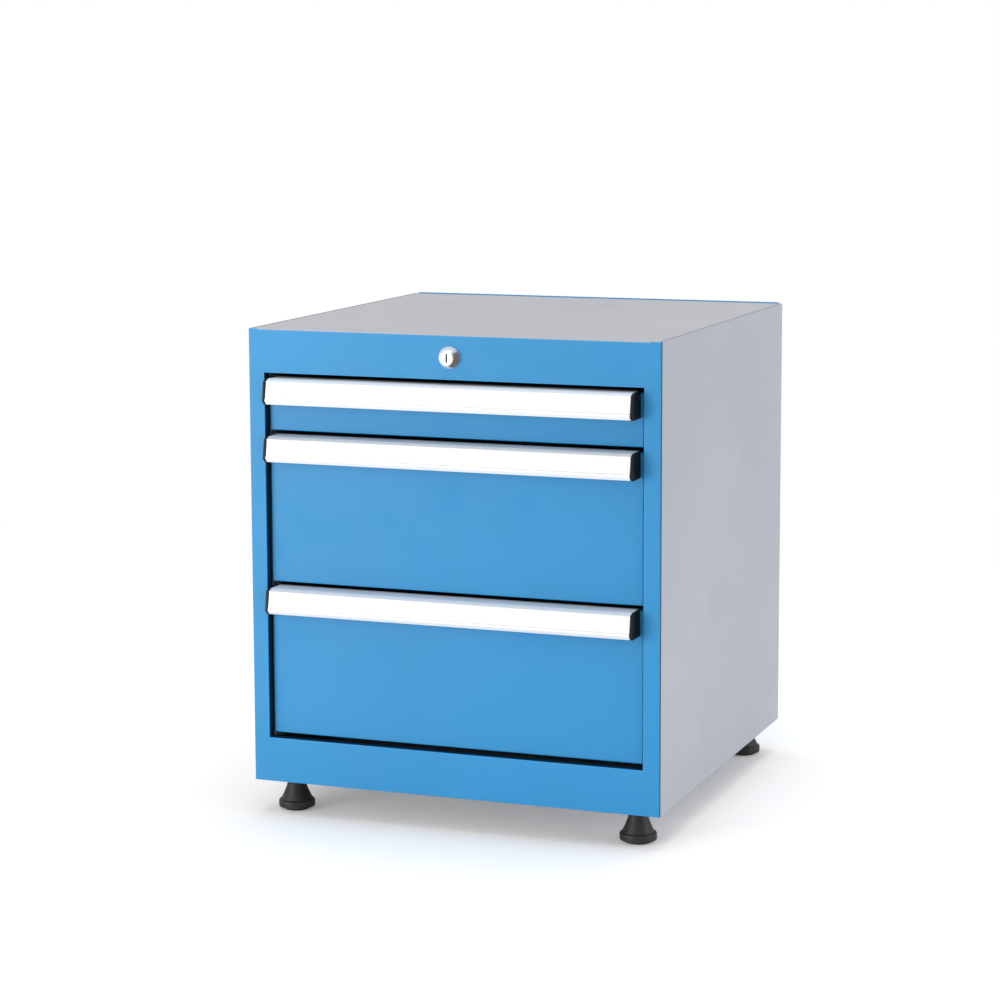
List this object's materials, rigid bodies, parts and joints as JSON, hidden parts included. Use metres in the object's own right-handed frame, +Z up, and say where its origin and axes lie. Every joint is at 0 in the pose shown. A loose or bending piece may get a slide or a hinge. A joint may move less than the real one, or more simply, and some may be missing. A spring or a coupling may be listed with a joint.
{
  "type": "under-bench drawer cabinet",
  "caption": "Under-bench steel drawer cabinet: folded body, full-width drawers with grip handles on telescopic runners, central cylinder lock and screw feet.",
  "frame": {"origin": "on the floor under the middle of the whole cabinet, handles included", "axes": "+Z up, +X to the cabinet's right seen from the front, drawers open towards -Y"},
  "size_m": [0.56, 0.5938, 0.6465],
  "materials": {
    "frame_blue": "semi-matt powder coat",
    "body_grey": "semi-matt powder coat",
    "drawer_grey": "semi-matt powder coat",
    "zinc_steel": "bright zinc plate",
    "grip_aluminium": "satin anodised",
    "cap_plastic": "fine moulded grain",
    "label_paper": "matt white strip",
    "lock_chrome": "bright plate",
    "foot_plastic": "moulded, slightly glossy"
  },
  "bodies": {
    "cabinet": {"front_frame": "frame_blue", "back_panel": "frame_blue", "side_panel_left": "body_grey", "side_panel_right": "body_grey", "top_panel": "body_grey", "bottom_panel": "body_grey", "upright_front_left": "body_grey", "upright_front_right": "body_grey", "upright_rear_left": "body_grey", "upright_rear_right": "body_grey", "runner_outer_1": "zinc_steel", "runner_outer_2": "zinc_steel", "runner_outer_3": "zinc_steel", "lock_housing": "lock_chrome", "lock_nut": "zinc_steel", "lock_bar_guides": "zinc_steel", "lock_rod_bracket": "zinc_steel", "foot_nuts": "zinc_steel"},
    "lock_plug": {"lock_plug": "lock_chrome", "lock_rod": "zinc_steel"},
    "lock_bar": {"lock_bar": "zinc_steel"},
    "drawer_1": {"drawer_box_1": "drawer_grey", "drawer_front_1": "frame_blue", "drawer_screws_1": "zinc_steel", "handle_1": "grip_aluminium", "label_strip_1": "label_paper", "handle_cap_left_1": "cap_plastic", "handle_cap_right_1": "cap_plastic", "runner_inner_1": "zinc_steel", "lock_catch_1": "zinc_steel"},
    "slide_1": {"runner_middle_1": "zinc_steel"},
    "drawer_2": {"drawer_box_2": "drawer_grey", "drawer_front_2": "frame_blue", "drawer_screws_2": "zinc_steel", "handle_2": "grip_aluminium", "label_strip_2": "label_paper", "handle_cap_left_2": "cap_plastic", "handle_cap_right_2": "cap_plastic", "runner_inner_2": "zinc_steel", "lock_catch_2": "zinc_steel"},
    "slide_2": {"runner_middle_2": "zinc_steel"},
    "drawer_3": {"drawer_box_3": "drawer_grey", "drawer_front_3": "frame_blue", "drawer_screws_3": "zinc_steel", "handle_3": "grip_aluminium", "label_strip_3": "label_paper", "handle_cap_left_3": "cap_plastic", "handle_cap_right_3": "cap_plastic", "runner_inner_3": "zinc_steel", "lock_catch_3": "zinc_steel"},
    "slide_3": {"runner_middle_3": "zinc_steel"},
    "foot_front_left": {"foot_front_left": "foot_plastic", "foot_stud_front_left": "zinc_steel"},
    "foot_front_right": {"foot_front_right": "foot_plastic", "foot_stud_front_right": "zinc_steel"},
    "foot_rear_left": {"foot_rear_left": "foot_plastic", "foot_stud_rear_left": "zinc_steel"},
    "foot_rear_right": {"foot_rear_right": "foot_plastic", "foot_stud_rear_right": "zinc_steel"}
  },
  "joints": [
    {"name": "drawer_1_slide", "type": "slide", "parent": "cabinet", "child": "drawer_1", "axis": [0, -1, 0], "range_m": [0, 0.45]},
    {"name": "runner_1_slide", "type": "slide", "parent": "cabinet", "child": "slide_1", "axis": [0, -1, 0], "range_m": [0, 0.225]},
    {"name": "drawer_2_slide", "type": "slide", "parent": "cabinet", "child": "drawer_2", "axis": [0, -1, 0], "range_m": [0, 0.45]},
    {"name": "runner_2_slide", "type": "slide", "parent": "cabinet", "child": "slide_2", "axis": [0, -1, 0], "range_m": [0, 0.225]},
    {"name": "drawer_3_slide", "type": "slide", "parent": "cabinet", "child": "drawer_3", "axis": [0, -1, 0], "range_m": [0, 0.45]},
    {"name": "runner_3_slide", "type": "slide", "parent": "cabinet", "child": "slide_3", "axis": [0, -1, 0], "range_m": [0, 0.225]},
    {"name": "lock_turn", "type": "hinge", "parent": "cabinet", "child": "lock_plug", "pos_m": [0, -0.273, 0.6165], "axis": [0, 1, 0], "range_deg": [0, 90]},
    {"name": "lock_bar_lift", "type": "slide", "parent": "cabinet", "child": "lock_bar", "axis": [0, 0, 1], "range_m": [0, 0.01698]},
    {"name": "foot_front_left_screw", "type": "slide", "parent": "cabinet", "child": "foot_front_left", "axis": [0, 0, -1], "range_m": [-0.015, 0.01]},
    {"name": "foot_front_right_screw", "type": "slide", "parent": "cabinet", "child": "foot_front_right", "axis": [0, 0, -1], "range_m": [-0.015, 0.01]},
    {"name": "foot_rear_left_screw", "type": "slide", "parent": "cabinet", "child": "foot_rear_left", "axis": [0, 0, -1], "range_m": [-0.015, 0.01]},
    {"name": "foot_rear_right_screw", "type": "slide", "parent": "cabinet", "child": "foot_rear_right", "axis": [0, 0, -1], "range_m": [-0.015, 0.01]}
  ],
  "couplings": [
    {"joint": "runner_1_slide", "follows": "drawer_1_slide", "ratio": 0.5},
    {"joint": "runner_2_slide", "follows": "drawer_2_slide", "ratio": 0.5},
    {"joint": "runner_3_slide", "follows": "drawer_3_slide", "ratio": 0.5},
    {"joint": "lock_turn", "follows": "lock_bar_lift", "rad_per_m": 92.5}
  ]
}
